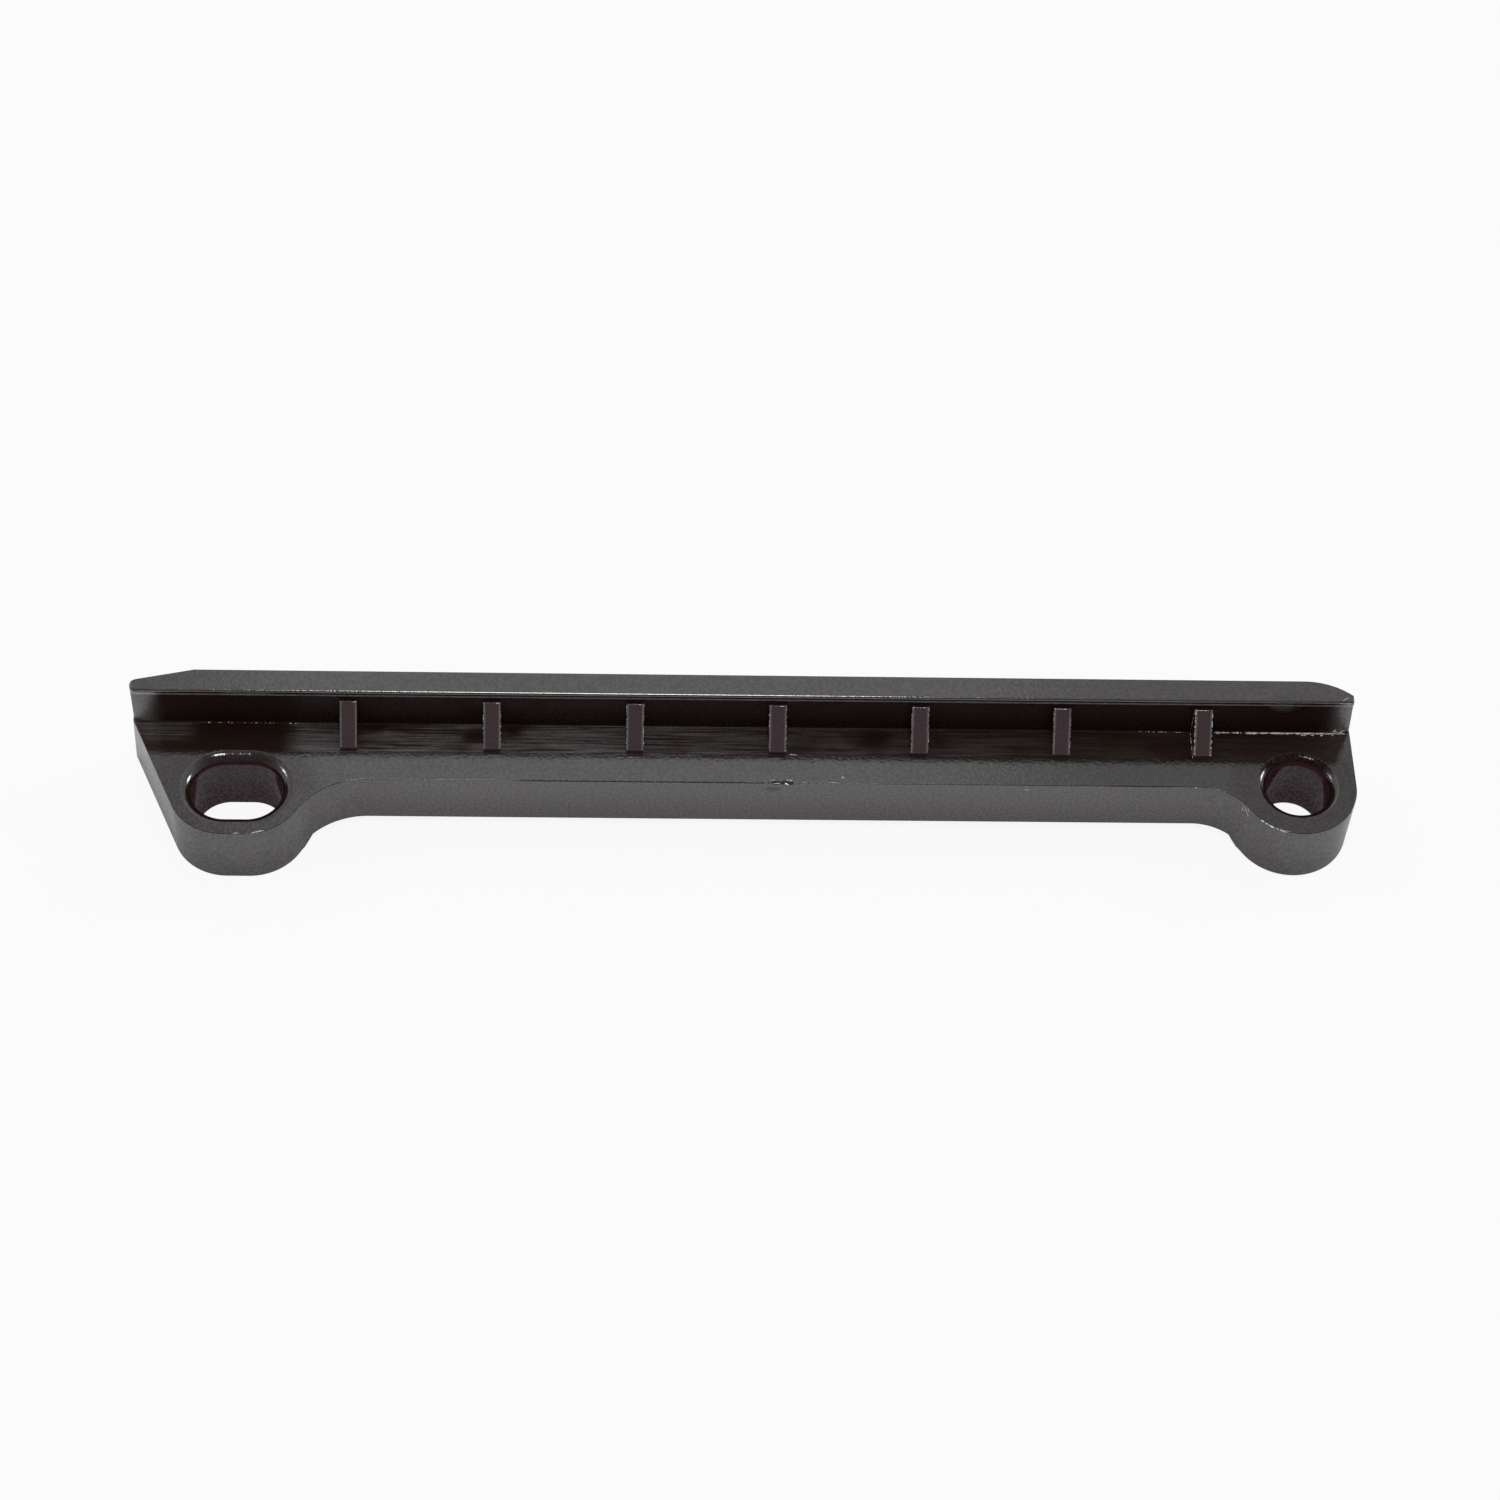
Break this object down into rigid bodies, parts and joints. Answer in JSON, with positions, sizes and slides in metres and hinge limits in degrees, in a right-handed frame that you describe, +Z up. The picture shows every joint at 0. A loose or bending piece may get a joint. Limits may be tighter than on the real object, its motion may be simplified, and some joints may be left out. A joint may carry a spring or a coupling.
{
  "type": "timing chain guide",
  "caption": "Straight black nylon chain guide: an upright ribbed rail with a smooth sliding face on a flat foot, bolted through a round bore and a slotted hole.",
  "frame": {"origin": "centre of the round locating bore at the mounting face", "axes": "+X along the rail towards the bore end, +Y out of the sliding face that the chain runs on, +Z up along the bolt holes from the mounting face"},
  "size_m": [0.1661, 0.0217, 0.0174],
  "materials": {
    "black_nylon": "moulded black nylon, satin gloss with fine lengthwise scuffs"
  },
  "bodies": {
    "root": {"chain_guide": "black_nylon"}
  },
  "joints": []
}
